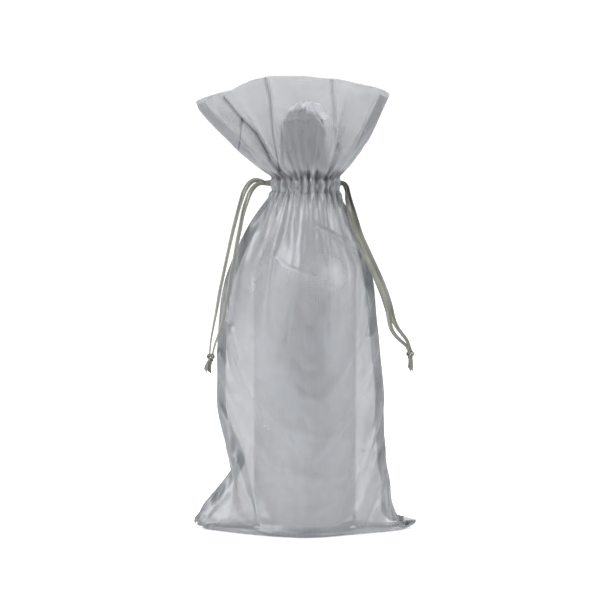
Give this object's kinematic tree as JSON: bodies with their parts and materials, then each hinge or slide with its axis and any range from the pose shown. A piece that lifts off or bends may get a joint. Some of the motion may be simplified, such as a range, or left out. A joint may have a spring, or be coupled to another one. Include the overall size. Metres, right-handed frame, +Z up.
{
  "type": "wine gift bag",
  "caption": "Sheer drawstring gift bag, gathered by satin ribbons round the neck of a tissue-wrapped wine bottle, with an open frill above.",
  "frame": {"origin": "on the table, under the middle of the bottle", "axes": "+Z up, -Y the front, X across the bag from seam to seam"},
  "size_m": [0.165, 0.086, 0.334],
  "materials": {
    "organza": "sheer, with a slight sheen",
    "thread": "fine sewing thread",
    "satin_ribbon": "satin",
    "tissue_paper": "matte, crinkled",
    "green_glass": "smooth",
    "cork": "matte",
    "foil": "lacquered"
  },
  "bodies": {
    "bag": {"front_panel": "organza", "back_panel": "organza", "front_facing": "organza", "back_facing": "organza", "left_side_seam": "organza", "right_side_seam": "organza", "bottom_seam": "organza", "upper_casing_stitching": "thread", "lower_casing_stitching": "thread", "left_ribbon_loop": "satin_ribbon", "right_ribbon_loop": "satin_ribbon", "left_ribbon_lead": "satin_ribbon", "right_ribbon_lead": "satin_ribbon", "tissue_wrap": "tissue_paper", "bottle": "green_glass", "cork": "cork", "foil_capsule": "foil"},
    "left_ribbon": {"left_front_strand": "satin_ribbon", "left_back_strand": "satin_ribbon", "left_knot": "satin_ribbon", "left_ribbon_ends": "satin_ribbon"},
    "right_ribbon": {"right_front_strand": "satin_ribbon", "right_back_strand": "satin_ribbon", "right_knot": "satin_ribbon", "right_ribbon_ends": "satin_ribbon"}
  },
  "joints": [
    {"name": "left_ribbon_swing", "type": "hinge", "parent": "bag", "child": "left_ribbon", "pos_m": [-0.0295, 0, 0.256], "axis": [0, 1, 0], "range_deg": [0, 50]},
    {"name": "right_ribbon_swing", "type": "hinge", "parent": "bag", "child": "right_ribbon", "pos_m": [0.027, 0, 0.256], "axis": [0, -1, 0], "range_deg": [0, 50]}
  ]
}
